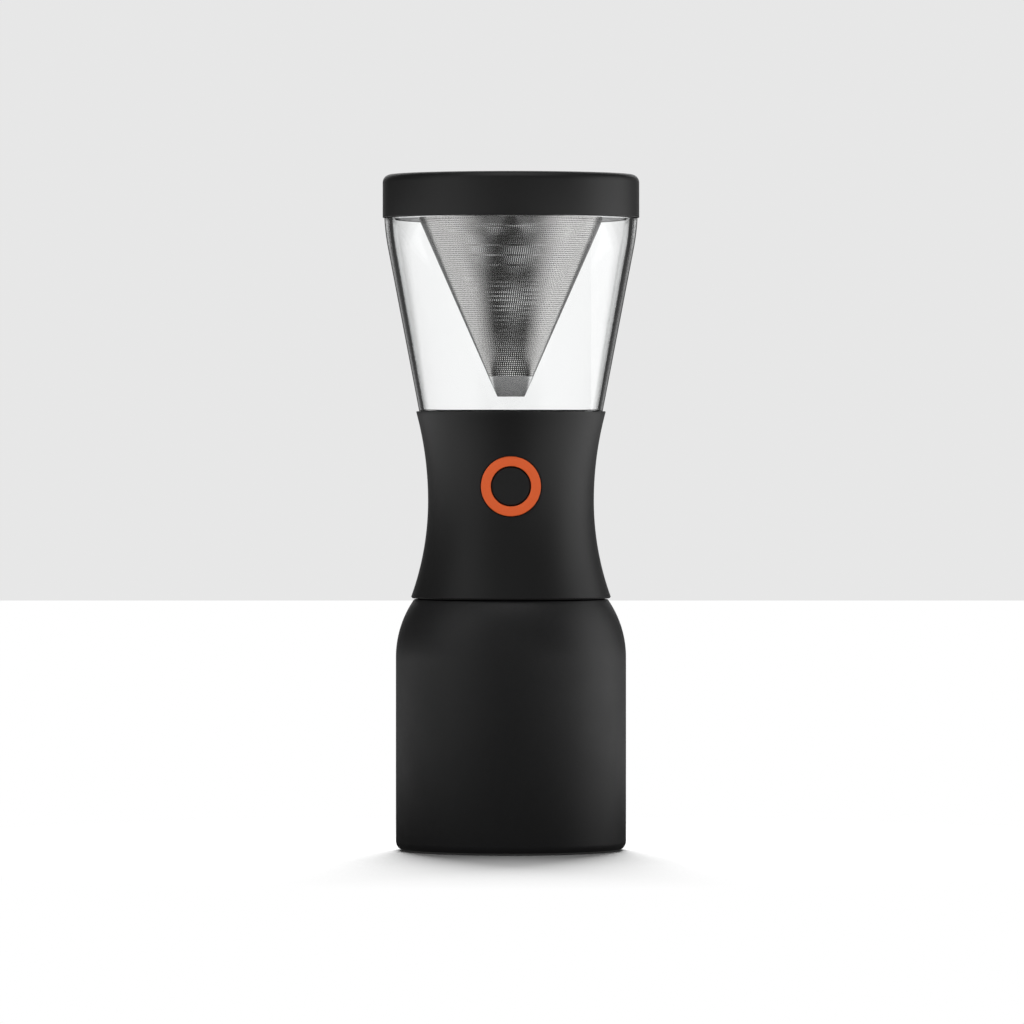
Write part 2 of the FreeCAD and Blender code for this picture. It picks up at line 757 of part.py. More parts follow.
def valve_plug():
    """Silicone plug whose cone closes the seat from above."""
    seat_radius = throat_radius + seat_chamfer
    return turned(
        (stem_radius, plug_nose), (throat_radius - plug_side_gap, plug_nose),
        (seat_radius - plug_cone_gap, plug_under), (seat_radius + plug_rim, plug_under),
        (seat_radius + plug_rim, plug_top(), plug_edge), (stem_radius, plug_top()),
    )


def plug_nut():
    """Round nut that holds the plug down on the stem's shoulder."""
    return turned(
        (stem_radius, plug_top()), (nut_radius, plug_top()), (nut_radius, plug_top() + nut_height),
        (stem_radius, plug_top() + nut_height),
    )


def cross_pin():
    """Pin through the stem that rides on the fork's ramps."""
    return Part.makeCylinder(
        pin_radius, 2 * pin_half_length, Vector(-pin_half_length, 0, pin_height), Vector(1, 0, 0)
    )


def spring_washer():
    """Washer on the pin that the valve spring pushes down."""
    washer = post(washer_radius, washer_under, washer_under + washer_thickness)
    return washer.cut(post(stem_radius, washer_under - past, washer_under + washer_thickness + past))


def valve_spring():
    """Spring between the washer and the guide's hub, which shuts the valve."""
    low = washer_under + washer_thickness
    spring = coil(valve_spring_wire, valve_spring_radius, valve_spring_turns, hub_under - low)
    spring.translate(Vector(0, 0, low))
    return spring


def screw(x, y, seat, direction):
    """A pan-head screw whose head sits on a flange at height seat. Direction 1 drives it upwards."""
    shank_end = seat + direction * (upper_flange if direction > 0 else lower_flange) + direction * screw_bite
    head_end = seat - direction * screw_head
    low, high = sorted((head_end, seat))
    head = post(screw_head_radius, low, high, x, y)
    low, high = sorted((seat, shank_end))
    return head.fuse(post(screw_radius, low, high, x, y)).removeSplitter()


def floor_screws():
    """Screws up through the tube's upper flange into the floor."""
    seat = upper_flange_under
    return Part.Compound([screw(x, y, seat, 1) for x, y in on_circle(upper_screw_circle, screw_count)])


def collar_screws():
    """Screws down through the tube's lower flange into the collar's plate."""
    seat = roof_top + lower_flange
    return Part.Compound([screw(x, y, seat, -1) for x, y in on_circle(lower_screw_circle, screw_count)])


def cone_radius(height):
    """Outside radius of the filter's cone at a height."""
    return cone_tip_radius + (cone_top_radius - cone_tip_radius) * (height - tip_end) / cone_height


def filter_rim():
    """Spun steel collar: a flange on the chamber's rim, an upright wall and a shelf round the cone."""
    outer, shelf_top = collar_sheet_radius, shelf_under + filter_wall
    flange = rim_radius - rim_overlap
    return turned(
        (cone_top_radius - cone_wall, shelf_under), (outer, shelf_under, sheet_bend + filter_wall),
        (outer, chamber_rim), (flange, chamber_rim), (flange, chamber_rim + filter_wall),
        (outer - filter_wall, chamber_rim + filter_wall), (outer - filter_wall, shelf_top, sheet_bend),
        (cone_top_radius - cone_wall, shelf_top),
    )


def filter_cone():
    """Perforated steel cone. Its holes, about a millimetre apart, are too fine for this model."""
    return turned(
        (cone_radius(tip_top) - cone_wall, tip_top), (cone_radius(tip_top), tip_top),
        (cone_top_radius, shelf_under), (cone_top_radius - cone_wall, shelf_under),
    )


def filter_tip():
    """Plain steel cup that closes the cone's point."""
    return turned(
        (0, tip_end), (cone_tip_radius, tip_end, tip_edge), (cone_radius(tip_top), tip_top),
        (cone_radius(tip_top) - tip_wall, tip_top), (cone_tip_radius - tip_wall, tip_end + tip_floor),
        (0, tip_end + tip_floor),
    )


def lid_cap():
    """Press-on lid: a flat top with a rounded edge and a straight skirt over the chamber's rim."""
    bore = lid_radius - lid_skirt
    return turned(
        (bore, lid_bottom), (lid_radius, lid_bottom, lid_rim_edge), (lid_radius, lid_height_top, lid_corner),
        (0, lid_height_top), (0, lid_height_top - lid_top), (bore, lid_height_top - lid_top, lid_inner_round),
    )


def stopper_outer():
    """Outside radius of the lid's inner wall, which reaches into the filter's collar."""
    return collar_sheet_radius - filter_wall - stopper_gap


def seal_low():
    return stopper_end() + seal_lift


def stopper_end():
    return lid_height_top - lid_top - liner_disc - stopper_depth


def lid_liner():
    """Disc inside the lid with the stopper wall, a stop ring and a groove for the seal."""
    top = lid_height_top - lid_top
    under = top - liner_disc
    radius = lid_radius - lid_skirt - lid_liner_fit
    outer = stopper_outer()
    stop_under = chamber_rim + filter_wall + stop_gap
    stop_inner = collar_sheet_radius - filter_wall
    return turned(
        (0, top), (0, under), (outer - stopper_wall, under), (outer - stopper_wall, stopper_end()),
        (outer, stopper_end()), (outer, seal_low()), (outer - seal_groove, seal_low()),
        (outer - seal_groove, seal_low() + seal_height), (outer, seal_low() + seal_height), (outer, under),
        (stop_inner, under), (stop_inner, stop_under), (radius - stop_ring_step, stop_under),
        (radius - stop_ring_step, under), (radius, under), (radius, top - liner_chamfer),
        (radius - liner_chamfer, top),
    )


def lid_seal():
    """Silicone ring in the stopper's groove, with a lip towards the filter's collar."""
    inner = stopper_outer() - seal_groove
    root = stopper_outer() + seal_lip_root
    lip = collar_sheet_radius - filter_wall - seal_gap
    low, high = seal_low(), seal_low() + seal_height
    middle = (low + high) / 2
    return turned(
        (inner, low), (stopper_outer(), low), (root, middle - seal_lip_half), (lip, middle, seal_lip_edge),
        (root, middle + seal_lip_half), (stopper_outer(), high), (inner, high),
    )


PIECES = (
    carafe_shell, shell_neck, carafe_liner, liner_bottom, liner_neck, base_pan, vacuum_seal, neck_gasket,
    screw_collar, collar_plate, waist_cover, brew_chamber, chamber_floor, floor_oring,
    drain_tube, tube_foot_flange, tube_top_flange, stem_guide, plunger_gland, plunger_seal,
    button_ring, button_guide, floor_screws, collar_screws,
    button_cap, button_plunger, button_spring,
    valve_stem, valve_plug, plug_nut, cross_pin, spring_washer, valve_spring,
    filter_rim, filter_cone, filter_tip, lid_cap, lid_liner, lid_seal,
)


def main():
    os.makedirs("parts", exist_ok=True)
    for piece in PIECES:
        shape = piece()
        if not shape.isValid() or shape.Volume <= 0:
            raise ValueError(f"{piece.__name__} is not a sound solid")
        shape.exportStep(f"parts/{piece.__name__}.step")
        print(f"{piece.__name__}: {len(shape.Solids)} solid, {shape.Volume / 1000:.2f} cm3")


main()
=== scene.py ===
# %% [markdown]
# # A cold brew coffee maker, dressed for the studio
#
# The construction of this object is loaded as a fixed frame: a steel carafe, a brewer that screws
# onto it, a push button with its valve, a cone filter and a lid. This lesson gives it its looks.
# Nearly every part of it is round, so one tool does most of the work: a profile that is carried
# round an axis. Most pieces that nobody sees from outside keep their construction meshes and only
# get a finish.

import math

import bmesh
import bpy
import numpy as np
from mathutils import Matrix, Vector


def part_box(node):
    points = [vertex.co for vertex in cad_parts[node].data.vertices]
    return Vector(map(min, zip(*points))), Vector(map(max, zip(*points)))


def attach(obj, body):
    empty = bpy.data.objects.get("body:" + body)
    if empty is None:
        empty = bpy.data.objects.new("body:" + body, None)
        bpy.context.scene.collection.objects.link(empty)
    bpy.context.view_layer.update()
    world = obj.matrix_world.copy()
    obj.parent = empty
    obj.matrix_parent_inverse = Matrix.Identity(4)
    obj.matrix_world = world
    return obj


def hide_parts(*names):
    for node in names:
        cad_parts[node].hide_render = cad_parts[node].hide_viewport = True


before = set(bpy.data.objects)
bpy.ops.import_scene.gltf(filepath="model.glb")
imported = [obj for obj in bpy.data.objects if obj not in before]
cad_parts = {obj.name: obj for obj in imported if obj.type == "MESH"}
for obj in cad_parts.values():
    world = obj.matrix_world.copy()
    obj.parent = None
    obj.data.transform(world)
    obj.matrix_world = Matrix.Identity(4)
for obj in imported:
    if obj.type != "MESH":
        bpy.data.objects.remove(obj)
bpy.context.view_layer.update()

MM = 0.001


def low(node):
    """Lowest height of a construction piece, in millimetres."""
    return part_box(node)[0][2] / MM


def high(node):
    """Highest height of a construction piece, in millimetres."""
    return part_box(node)[1][2] / MM


def reach(node):
    """Largest radius of a round construction piece, in millimetres."""
    lowest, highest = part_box(node)
    return max(highest[0], highest[1], -lowest[0], -lowest[1]) / MM


# %% [markdown]
# ## The camera
#
# A product photographer stands well back with a long lens, so that upright sides stay parallel.
# The eye is a little above the middle of the object and looks almost level. Making the camera
# first means that every later render can be laid beside the photograph.

# %% Camera
CAMERA_DISTANCE = 4.182
EYE_HEIGHT = 0.2161
AIM_HEIGHT = 0.1725
SIDE_STEP = 0.00053
FRAME_WIDTH = 0.5222      # width of the view at the object's axis


def make_camera():
    """A long lens at eye height, aimed at the middle of the object."""
    data = bpy.data.cameras.new("studio_camera")
    data.sensor_width = 36.0
    place = Vector((SIDE_STEP, -CAMERA_DISTANCE, EYE_HEIGHT))
    aim = Vector((SIDE_STEP, 0, AIM_HEIGHT))
    data.lens = data.sensor_width * (aim - place).length / FRAME_WIDTH
    data.clip_start, data.clip_end = 0.1, 50
    camera = bpy.data.objects.new("studio_camera", data)
    camera.location = place
    camera.rotation_euler = (aim - place).to_track_quat("-Z", "Y").to_euler()
    bpy.context.collection.objects.link(camera)
    bpy.context.scene.camera = camera
    print("lens", round(data.lens, 1), "mm")


make_camera()

# %% [markdown]
# ## Carrying a profile round an axis
#
# A lathe, a spinning mandrel and a round mould all make the same kind of surface: a profile swept
# round an axis. Blender's Screw modifier can do this too, but an array keeps the formula in sight:
# the point at angle a and profile place k is (r[k] cos a, r[k] sin a, z[k]). Real edges are never
# quite sharp, so each corner of a profile may carry a small rounding, which is what catches light.

# %% Profiles
ARC_STEPS = 7
LONGEST_CUT = 0.49         # a rounding takes at most this share of a side, so that two never meet


def rounded(before, corner, after, radius):
    """The arc that replaces a corner: its centre lies on the corner's bisector."""
    before, corner, after = (np.asarray(p[:2], float) for p in (before, corner, after))
    one = (before - corner) / np.linalg.norm(before - corner)
    two = (after - corner) / np.linalg.norm(after - corner)
    half = math.acos(np.clip(one @ two, -1, 1)) / 2
    shorter = min(np.linalg.norm(before - corner), np.linalg.norm(after - corner))
    cut = min(radius / math.tan(half), LONGEST_CUT * shorter)
    radius = cut * math.tan(half)
    centre = corner + (one + two) / np.linalg.norm(one + two) * radius / math.sin(half)
    start, end = corner + one * cut - centre, corner + two * cut - centre
    share = np.linspace(0, 1, ARC_STEPS)[:, None]
    between = start * (1 - share) + end * share
    return centre + between / np.linalg.norm(between, axis=1)[:, None] * radius


def profile(*items):
    """Profile points in millimetres. An item is (r, z), (r, z, rounding) or an array of points."""
    corners = []
    for item in items:
        corners += [tuple(p) for p in item] if isinstance(item, np.ndarray) else [item]
    points = []
    for i, corner in enumerate(corners):
        if len(corner) > 2 and corner[2] > 0:
            points.append(rounded(corners[i - 1], corner, corners[(i + 1) % len(corners)], corner[2]))
        else:
            points.append(np.array([corner[:2]], float))
    return np.vstack(points)


def area(points):
    """Signed area inside a closed profile, positive when it runs anticlockwise in (r, z)."""
    r, z = points[:, 0], points[:, 1]
    return 0.5 * np.sum(r * np.roll(z, -1) - np.roll(r, -1) * z)


# %% Turned surfaces
TURNS = 256
FINE_TURNS = 320           # for edges that stand against white
BUTTON_TURNS = 160
TIP_TURNS = 128


def lathe(points, turns=TURNS):
    """Vertices (r cos a, r sin a, z) of a closed profile at every angle, and the quads between them."""
    if area(points) < 0:
        points = points[::-1]
    angle = np.linspace(0, 2 * math.pi, turns, endpoint=False)[:, None]
    r, z = points[None, :, 0], points[None, :, 1]
    vertices = np.stack([r * np.cos(angle), r * np.sin(angle), z + 0 * angle], axis=2).reshape(-1, 3)
    count = len(points)
    turn, place = np.meshgrid(np.arange(turns), np.arange(count), indexing="ij")
    next_turn, next_place = (turn + 1) % turns, (place + 1) % count
    quads = np.stack([
        turn * count + place, next_turn * count + place,
        next_turn * count + next_place, turn * count + next_place,
    ], axis=2).reshape(-1, 4)
    return vertices, quads


def facing_front(vertices, centre):
    """Lays a surface that stands on Z along Y, with its origin at a centre: (x, y, z) to (x, z, -y)."""
    return np.stack([vertices[:, 0], vertices[:, 2], -vertices[:, 1]], axis=1) + np.asarray(centre)


# %% [markdown]
# ## From arrays to pieces
#
# A mesh needs its poles closed: where a profile touches the axis, a whole ring of points falls
# together, and merging them turns the quads there into triangles. Edges that turn by more than
# 35 degrees are marked sharp, and all the others are shaded smooth.

# %% Pieces
SHARP = math.radians(35)
TOUCHING = 1e-7


def make_mesh(name, vertices, faces):
    """A mesh in metres from arrays in millimetres, with its doubles merged."""
    mesh = bpy.data.meshes.new(name)
    mesh.from_pydata((vertices * MM).tolist(), [], faces.tolist())
    work = bmesh.new()
    work.from_mesh(mesh)
    bmesh.ops.remove_doubles(work, verts=work.verts, dist=TOUCHING)
    bmesh.ops.dissolve_degenerate(work, edges=work.edges, dist=TOUCHING)
    work.to_mesh(mesh)
    work.free()
    return mesh


def smooth(mesh):
    """Smooth shading that stops at sharp edges."""
    mesh.shade_smooth()
    mesh.set_sharp_from_angle(angle=SHARP)


def piece(name, mesh, body, finish, stands_for=()):
    """Puts a mesh into the scene as a piece that rides on a body."""
    smooth(mesh)
    mesh.materials.append(finish)
    thing = bpy.data.objects.new(name, mesh)
    bpy.context.collection.objects.link(thing)
    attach(thing, body)
    if stands_for:
        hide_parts(*stands_for)
    print(f"{name}: {len(mesh.polygons)} faces on {body}")


# %% [markdown]
# ## Shader maths as expressions
#
# A procedural finish is a small formula, such as "a third of the grain plus the dust". Written as
# nodes it takes a page, so sockets are wrapped in a class that knows plus, minus and times, and
# each use of an operator adds the Math node that does it.

# %% Sockets with operators
class Wire:
    """A socket of a finish. Arithmetic on it adds Math nodes."""

    def __init__(self, finish, socket):
        self.finish, self.socket = finish, socket

    def calculate(self, operation, *values):
        return self.finish.node("ShaderNodeMath", {"operation": operation}, dict(enumerate(values)))

    def __add__(self, other):
        return self.calculate("ADD", self, other)

    def __rsub__(self, other):
        return self.calculate("SUBTRACT", other, self)

    def __mul__(self, other):
        return self.calculate("MULTIPLY", self, other)

    __radd__ = __add__
    __rmul__ = __mul__

    def between(self, start, end):
        """0 up to start, 1 from end, and an even climb between the two."""
        inputs = {"Value": self, "From Min": start, "From Max": end}
        return self.finish.node("ShaderNodeMapRange", {"clamp": True}, inputs)


class Nodes:
    """The nodes of a material or of the world, which end in one output."""

    def __init__(self, owner, kind):
        owner.use_nodes = True
        self.tree = owner.node_tree
        self.tree.nodes.clear()
        self.output = self.tree.nodes.new(kind)

    def node(self, kind, settings=None, inputs=None, output=0):
        """Any node: its settings first, then the values or links of its sockets."""
        made = self.tree.nodes.new(kind)
        for key, value in (settings or {}).items():
            setattr(made, key, value)
        for key, value in (inputs or {}).items():
            self.feed(made.inputs[key], value)
        return Wire(self, made.outputs[output])

    def feed(self, socket, value):
        if isinstance(value, Wire):
            self.tree.links.new(value.socket, socket)
        else:
            socket.default_value = value

    def show(self, shader):
        self.feed(self.output.inputs["Surface"], shader)

    def ray(self, output):
        """One fact about the ray that asks for the colour, such as Is Camera Ray."""
        return self.node("ShaderNodeLightPath", output=output)

    def unmirrored(self):
        """1 for a ray that has met no mirror on its way from the camera, and 0 for all others."""
        return 1 - self.ray("Glossy Depth").between(0, 1)


class Finish(Nodes):
    """A material built round one Principled shader."""

    def __init__(self, name, **constants):
        self.material = bpy.data.materials.new(name)
        super().__init__(self.material, "ShaderNodeOutputMaterial")
        self.shader = self.tree.nodes.new("ShaderNodeBsdfPrincipled")
        self.show(Wire(self, self.shader.outputs[0]))
        for key, value in constants.items():
            self.shader.inputs[key.replace("_", " ")].default_value = value

    def drive(self, name, value):
        self.feed(self.shader.inputs[name], value)

    def place(self):
        """Object coordinates, in metres."""
        return self.node("ShaderNodeTexCoord", output="Object")

    def axis(self, letter):
        """One of the object coordinates."""
        return self.node("ShaderNodeSeparateXYZ", {}, {0: self.place()}, output=letter)

    def noise(self, scale, detail=2.0, roughness=0.5, stretch=None):
        """Noise from 0 to 1. stretch multiplies the coordinates, so a large number gives short grain."""
        place = self.place()
        if stretch:
            place = self.node("ShaderNodeMapping", {}, {0: place, "Scale": stretch})
        inputs = {"Vector": place, "Scale": scale, "Detail": detail, "Roughness": roughness}
        return self.node("ShaderNodeTexNoise", {}, inputs)

    def blend(self, share, one, two):
        """Colour one where share is 0 and colour two where it is 1."""
        inputs = {0: share, 6: one, 7: two}
        return self.node("ShaderNodeMix", {"data_type": "RGBA"}, inputs, output=2)

    def bump(self, height, strength, distance):
        inputs = {"Height": height, "Strength": strength, "Distance": distance}
        self.drive("Normal", self.node("ShaderNodeBump", {}, inputs))


# %% [markdown]
# ## The finishes
#
# Three blacks carry the object, and they differ in grain and gloss. The carafe is powder coated: the
# powder melts into a fine pebbled skin, satin and a little broken. The waist, the lid and the
# button are moulded plastic with a soft-touch lacquer, smoother and duller. What is out of sight
# is plain moulded black.

# %% Blacks
FOOT_SHEEN_HEIGHTS = (0.0007, 0.0011)      # heights in metres between which the painted light line gives way to the black


def powder_coat():
    """Pebbled black, with a painted reflection at the very foot: a light metallic line."""
    finish = Finish("powder_coat", IOR=1.5)
    pebbles = finish.noise(2600, detail=3.0, roughness=0.6)
    cloud = finish.noise(45, detail=2.0)
    # painted reflection: the foot's lowest rounding turns light metallic grey where the floor would show in
    # it; being metallic, it also mirrors what is round it
    foot_sheen = 1 - finish.axis("Z").between(*FOOT_SHEEN_HEIGHTS)
    speck = pebbles.between(0.35, 0.75)
    black = finish.blend(speck, (0.0045, 0.0045, 0.0048, 1), (0.012, 0.012, 0.0124, 1))
    finish.drive("Base Color", finish.blend(foot_sheen, black, (0.4, 0.4, 0.4, 1)))
    finish.drive("Metallic", foot_sheen)
    finish.drive("Roughness", 0.40 + 0.08 * cloud + 0.07 * speck)
    finish.bump(pebbles, 0.35, 0.00008)
    return finish.material


def soft_touch(name, dark, light, roughness):
    """Moulded plastic under a soft lacquer, with a trace of handling in its gloss."""
    finish = Finish(name, IOR=1.45)
    grain = finish.noise(3800, detail=2.0)
    handling = finish.noise(30, detail=4.0, roughness=0.6)
    finish.drive("Base Color", finish.blend(grain, (dark, dark, dark, 1), (light, light, light * 1.02, 1)))
    finish.drive("Roughness", roughness + 0.06 * handling)
    finish.bump(grain, 0.2, 0.00004)
    return finish.material


def moulded(name, colour, roughness, scale=1500):
    """Plain moulded plastic or rubber with the fine texture of its mould."""
    finish = Finish(name)
    grain = finish.noise(scale)
    deeper = tuple(0.85 * c for c in colour)
    finish.drive("Base Color", finish.blend(grain, (*deeper, 1), (*colour, 1)))
    finish.drive("Roughness", roughness + 0.05 * grain)
    finish.bump(grain, 0.15, 0.00003)
    return finish.material


POWDER_COAT = powder_coat()
SOFT_BLACK = soft_touch("soft_black", 0.0045, 0.0075, 0.43)
BUTTON_BLACK = soft_touch("button_black", 0.006, 0.010, 0.5)
INNER_BLACK = moulded("inner_black", (0.015, 0.015, 0.016), 0.42)
ORANGE = moulded("orange_plastic", (0.63, 0.092, 0.014), 0.45)
SILICONE = moulded("silicone", (0.62, 0.62, 0.60), 0.5)
DARK_SILICONE = moulded("dark_silicone", (0.02, 0.02, 0.02), 0.5)

# %% [markdown]
# Steel is told apart by its scratches. Spun and polished steel has a mirror skin with faint rings
# from the lathe, so its noise is squeezed along the height. The perforated sheet is satin all over.

# %% Steels
def steel(name, colour, roughness, ring_strength, metallic=1.0):
    """Stainless steel with fine turning marks: noise that is short upwards and long round the axis."""
    finish = Finish(name, Metallic=metallic)
    rings = finish.noise(60, detail=3.0, stretch=(1, 1, 60))
    cloud = finish.noise(25, detail=2.0)
    deeper = tuple(0.93 * c for c in colour)
    finish.drive("Base Color", finish.blend(cloud, (*deeper, 1), (*colour, 1)))
    finish.drive("Roughness", roughness + 0.05 * rings)
    finish.bump(rings, ring_strength, 0.00003)
    return finish.material


SATIN_STEEL = steel("satin_steel", (0.58, 0.575, 0.57), 0.30, 0.10)
SHEET_STEEL = steel("sheet_steel", (0.62, 0.61, 0.60), 0.17, 0.0)
POLISHED_STEEL = steel("polished_steel", (0.80, 0.80, 0.80), 0.10, 0.01)
CUP_STEEL = steel("cup_steel", (0.86, 0.86, 0.86), 0.22, 0.0, metallic=0.75)

# %% [markdown]
# The chamber is clear plastic. Light bends through it as in glass. Where the eye looks along the wall
# instead of through it, a dark line runs down each side: the dim room, seen bent through the wall.
# Here that line is painted shade: a dark diffuse is mixed in where a Layer Weight node finds those
# places. A renderer can't send lamp light through a bending wall without noise, so for shadow rays
# alone the wall counts as open.

# %% Clear plastic
PAINTED_EDGE_FACING = (0.84, 0.91)
PAINTED_EDGE_SHARE = 0.85
PAINTED_EDGE_SHADE = (0.02, 0.02, 0.02, 1)


def clear_plastic():
    """Clear plastic with painted shade along its edges, through which lamps shine unhindered."""
    finish = Finish("clear_plastic", Base_Color=(0.985, 0.99, 0.99, 1), Roughness=0.0, IOR=1.45,
                    Transmission_Weight=1.0, Specular_IOR_Level=0.25)
    facing = finish.node("ShaderNodeLayerWeight", {}, {"Blend": 0.5}, output="Facing")
    # painted shade: where the view grazes the wall, a dark diffuse is mixed in as the dark edge line
    painted_edge = facing.between(*PAINTED_EDGE_FACING) * PAINTED_EDGE_SHARE
    dark = finish.node("ShaderNodeBsdfDiffuse", {}, {"Color": PAINTED_EDGE_SHADE})
    inputs = {0: painted_edge, 1: Wire(finish, finish.shader.outputs[0]), 2: dark}
    wall = finish.node("ShaderNodeMixShader", {}, inputs)
    inputs = {0: finish.ray("Is Shadow Ray"), 1: wall, 2: finish.node("ShaderNodeBsdfTransparent")}
    finish.show(finish.node("ShaderNodeMixShader", {}, inputs))
    return finish.material


CLEAR = clear_plastic()

# %% [markdown]
# ## The carafe
#
# The outer skin is drawn and spun from one steel tube: a straight side, a round shoulder, a flat
# ledge and a neck. The shoulder is a true arc, so it is worked out as one, with a point every few
# degrees. The liner's lip folds out over the neck and stays bare steel.

# %% Carafe shell
SHELL_WALL = 0.8
SIDE_HEIGHT = 98.5
SHOULDER_ARC = 51.5
LEDGE_HEIGHT = 128.0
NECK_RADIUS = 40.0
FOOT_CORNER = 4.6
FOOT_RING = 5.0
ARC_END = 0.4              # the arc stops this far under the ledge, where a small rounding takes over
LIP_DROP = 0.7             # the neck ends this far under the liner's folded lip
carafe_radius = reach("carafe_shell")
lip_height = high("liner_neck")


def shoulder(inset, first, last, count=24):
    """Points of the shoulder's arc between two heights: r = centre + sqrt(arc^2 - z^2)."""
    z = np.linspace(first, last, count)
    r = carafe_radius - SHOULDER_ARC + np.sqrt((SHOULDER_ARC - inset) ** 2 - (z - SIDE_HEIGHT) ** 2)
    return np.stack([r, z], axis=1)


def carafe_shell():
    """The coated skin from the foot ring to the neck, with its wall."""
    foot_inner = carafe_radius - FOOT_CORNER - FOOT_RING
    under = LEDGE_HEIGHT - SHELL_WALL
    ledge_edge = shoulder(0, LEDGE_HEIGHT, LEDGE_HEIGHT, 1)[0][0]
    neck_top, neck_bore = lip_height - LIP_DROP, NECK_RADIUS - SHELL_WALL
    section = profile(
        (foot_inner, 0), (carafe_radius, 0, FOOT_CORNER), shoulder(0, SIDE_HEIGHT, LEDGE_HEIGHT - ARC_END),
        (ledge_edge, LEDGE_HEIGHT, 0.5), (NECK_RADIUS, LEDGE_HEIGHT, 0.8), (NECK_RADIUS, neck_top),
        (neck_bore, neck_top), (neck_bore, under), shoulder(SHELL_WALL, under, SIDE_HEIGHT),
        (carafe_radius - SHELL_WALL, SHELL_WALL, FOOT_CORNER - SHELL_WALL), (foot_inner, SHELL_WALL),
    )
    mesh = make_mesh("carafe_skin", *lathe(section))
    piece("carafe_skin", mesh, "carafe", POWDER_COAT, ["carafe_shell", "shell_neck"])


carafe_shell()

# %% [markdown]
# ## The waist
#
# The hourglass is two arcs that meet upright at the narrowest place. Its front has a round opening
# for the button. Cutting it out of the grid by hand would leave a ragged edge, so a cylinder is
# subtracted with a Boolean, whose result is kept as a plain mesh.

# %% Waist cover
WAIST_BOTTOM_RADIUS = 50.9
WAIST_NECK_RADIUS = 42.3
WAIST_TOP_RADIUS = 48.2
WAIST_NECK_RISE = 49.7
WAIST_WALL = 2.4
WAIST_MOUTH_RADIUS = 46.95
WAIST_TURNS = 384
RIM_ROUND = 0.8
RIM_FLARE = 0.1
FOOT_TUCK = 0.5            # the lower edge draws in by this much
FOOT_LIP_RISE = 2.3
FOOT_LIP_STEP = 1.0        # the bore opens by this much over the carafe's ledge
LEDGE_DROP = 2.3           # the chamber's ledge lies this far under the rim
waist_low, waist_high = low("waist_cover"), high("waist_cover")
waist_neck = waist_low + WAIST_NECK_RISE
button_axis = (low("button_ring") + high("button_ring")) / 2
ring_radius = (high("button_ring") - low("button_ring")) / 2
RING_GROOVE = 0.55
CUTTER_HALF = 30


def hourglass(inset, first, last, count=48):
    """Points of the waist between two heights. Each arc has its centre level with the neck."""
    z = np.linspace(first, last, count)
    above = z > waist_neck
    widening = np.where(above, WAIST_TOP_RADIUS, WAIST_BOTTOM_RADIUS) - WAIST_NECK_RADIUS
    rise = np.where(above, waist_high - RIM_ROUND - waist_neck, waist_neck - waist_low - RIM_ROUND)
    arc = (widening ** 2 + rise ** 2) / (2 * widening)
    r = WAIST_NECK_RADIUS + arc - np.sqrt((arc + inset) ** 2 - (z - waist_neck) ** 2)
    return np.stack([r, z], axis=1)


def subtract(mesh, cutter):
    """The mesh without what the cutter holds, as a plain mesh."""
    body = bpy.data.objects.new("work_body", mesh)
    tool = bpy.data.objects.new("work_tool", cutter)
    for thing in (body, tool):
        bpy.context.collection.objects.link(thing)
    cut = body.modifiers.new("cut", "BOOLEAN")
    cut.operation, cut.solver, cut.object = "DIFFERENCE", "EXACT", tool
    done = bpy.data.meshes.new_from_object(body.evaluated_get(bpy.context.evaluated_depsgraph_get()))
    for thing in (body, tool):
        bpy.data.objects.remove(thing)
    return done


def waist_cover():
    """The hourglass shell, with a round opening for the ring in its front."""
    ledge, foot_lip = waist_high - LEDGE_DROP, waist_low + FOOT_LIP_RISE
    outside = hourglass(0, waist_low + RIM_ROUND, waist_high - RIM_ROUND)
    inside = hourglass(WAIST_WALL, ledge, foot_lip)
    foot_bore = inside[-1][0] + FOOT_LIP_STEP
    points = profile(
        (outside[0][0] - FOOT_TUCK, waist_low, 0.4), outside,
        (outside[-1][0] + RIM_FLARE, waist_high, RIM_ROUND), (WAIST_MOUTH_RADIUS, waist_high, 0.3),
        (WAIST_MOUTH_RADIUS, ledge), inside, (foot_bore, foot_lip),
        (foot_bore, waist_low),
    )
    opening = ring_radius + RING_GROOVE
    cutter = profile((0, -CUTTER_HALF), (opening, -CUTTER_HALF), (opening, CUTTER_HALF), (0, CUTTER_HALF))
    vertices, faces = lathe(cutter, BUTTON_TURNS)
    laid_down = facing_front(vertices, (0, -WAIST_NECK_RADIUS, button_axis))
    cutter_mesh = make_mesh("work_cutter", laid_down, faces)
    mesh = subtract(make_mesh("waist_skin", *lathe(points, WAIST_TURNS)), cutter_mesh)
    mesh.materials.clear()
    piece("waist_skin", mesh, "brewer", SOFT_BLACK, ["waist_cover"])


waist_cover()

# %% [markdown]
# ## The button
#
# A flat orange ring frames a black button that sits a little deeper. Both are turned about the
# button's own axis, which points out of the waist, so they are made standing up and then laid down.

# %% Ring and button
RING_BORE = 10.2
BUTTON_RADIUS = 9.7
BUTTON_SKIRT = 1.3
BUTTON_FACE = 2.0
DISH_DEPTH = 0.25          # the face dips to its middle, by half as much at DISH_EDGE from the rim
DISH_RISE = 0.12
DISH_EDGE = 2.2
HUB_RADIUS = 5.2
HUB_BORE = 4.0
HUB_END = 4.6


def depths(node):
    """Where a piece's front lies along Y, and how deep it is from there, in millimetres."""
    lowest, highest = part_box(node)
    return lowest[1] / MM, (highest[1] - lowest[1]) / MM


def turned_front(name, points, front, body, finish, node):
    """A round piece whose profile is (radius, depth behind the front), turned about the button's axis."""
    vertices, faces = lathe(points, BUTTON_TURNS)
    mesh = make_mesh(name, facing_front(vertices, (0, front, button_axis)), faces)
    piece(name, mesh, body, finish, [node])


